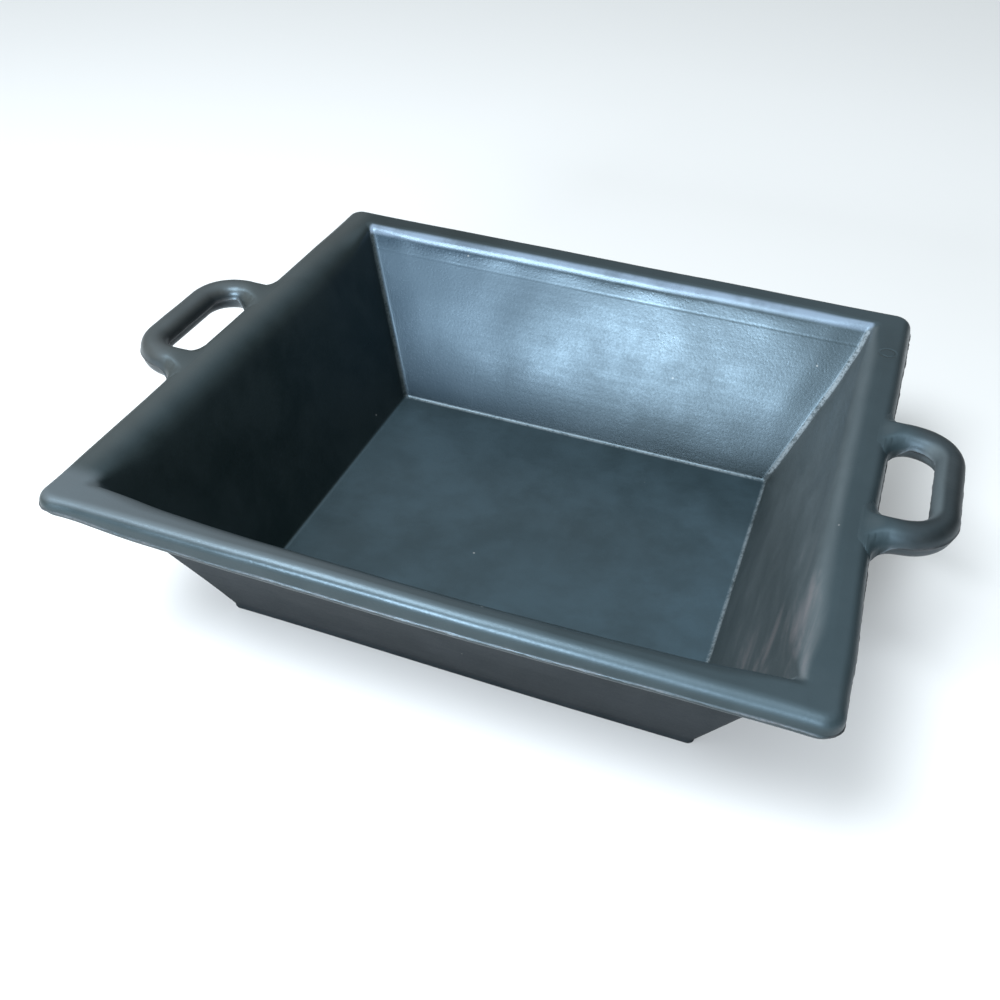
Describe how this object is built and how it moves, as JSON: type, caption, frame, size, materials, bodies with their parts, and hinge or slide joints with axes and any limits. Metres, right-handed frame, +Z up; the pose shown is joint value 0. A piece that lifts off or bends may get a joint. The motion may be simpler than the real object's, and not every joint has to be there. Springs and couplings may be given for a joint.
{
  "type": "mortar mixing tub",
  "caption": "Nearly square, flared black rubber tub with a flat floor, a rolled flanged rim and a moulded loop handle at each end, for mixing and carrying mortar.",
  "frame": {"origin": "centre of the tub's underside, on the plane that it stands on", "axes": "+X runs along the longer rim side through both handles, +Y across the tub, +Z up"},
  "size_m": [0.771, 0.602, 0.1875],
  "materials": {
    "tub_rubber": "moulded, low sheen, dusty and finely pitted",
    "handle_rubber": "moulded, low sheen, with a line of flash at mid height",
    "canvas_ply": "plain woven canvas, uncoated",
    "reinforcing_rope": "twisted fibre rope"
  },
  "bodies": {
    "root": {"floor": "tub_rubber", "front_wall": "tub_rubber", "back_wall": "tub_rubber", "left_wall": "tub_rubber", "right_wall": "tub_rubber", "front_rim": "tub_rubber", "back_rim": "tub_rubber", "left_rim": "tub_rubber", "right_rim": "tub_rubber", "left_handle": "handle_rubber", "right_handle": "handle_rubber", "floor_ply": "canvas_ply", "front_wall_ply": "canvas_ply", "back_wall_ply": "canvas_ply", "left_wall_ply": "canvas_ply", "right_wall_ply": "canvas_ply", "rim_cord": "reinforcing_rope", "left_handle_core": "reinforcing_rope", "right_handle_core": "reinforcing_rope"}
  },
  "joints": []
}
